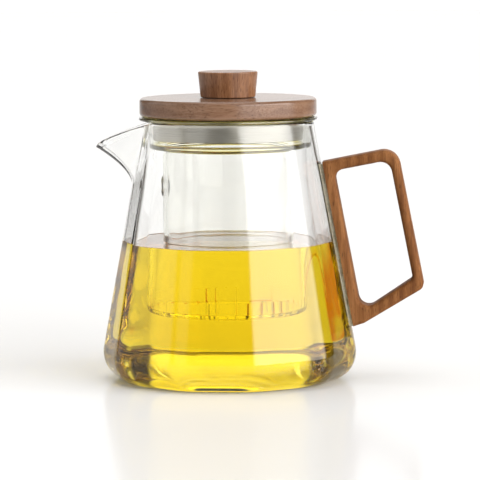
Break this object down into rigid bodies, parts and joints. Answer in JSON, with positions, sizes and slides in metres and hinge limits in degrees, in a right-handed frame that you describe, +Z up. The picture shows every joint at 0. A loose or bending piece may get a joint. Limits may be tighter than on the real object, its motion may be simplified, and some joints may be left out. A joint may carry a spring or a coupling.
{
  "type": "glass teapot",
  "caption": "glass teapot with a faceted flared body, a pulled pouring lip, a wooden loop handle, a lift-out glass infuser and a wooden lid with a steel liner",
  "frame": {"origin": "the middle of the pot's flat base, on the pot's own axis, at the level of the table", "axes": "+Z is up along the pot's axis, +X points from the axis to the handle, and the pouring lip points along -X"},
  "size_m": [0.1581, 0.1184, 0.1485],
  "materials": {
    "clear_glass": "clear, polished",
    "infuser_glass": "clear, polished",
    "clear_bond": "clear cured adhesive, slightly cloudy",
    "handle_walnut": "walnut, satin oiled",
    "knob_walnut": "walnut, satin oiled, grain upright",
    "disc_walnut": "walnut, satin oiled, grain across",
    "brushed_steel": "brushed round the band",
    "screw_steel": "turned, bright",
    "brass": "machined"
  },
  "bodies": {
    "pot": {"pot_body": "clear_glass", "handle": "handle_walnut", "handle_bond": "clear_bond"},
    "infuser": {"infuser": "infuser_glass"},
    "lid": {"lid_disc": "disc_walnut", "lid_liner": "brushed_steel", "lid_knob": "knob_walnut", "knob_insert": "brass", "knob_screw": "screw_steel", "screw_washer": "screw_steel"}
  },
  "joints": [
    {"name": "infuser_lift", "type": "slide", "parent": "pot", "child": "infuser", "axis": [0, 0, 1], "range_m": [0, 0.1]},
    {"name": "lid_lift", "type": "slide", "parent": "infuser", "child": "lid", "axis": [0, 0, 1], "range_m": [0, 0.04]}
  ]
}
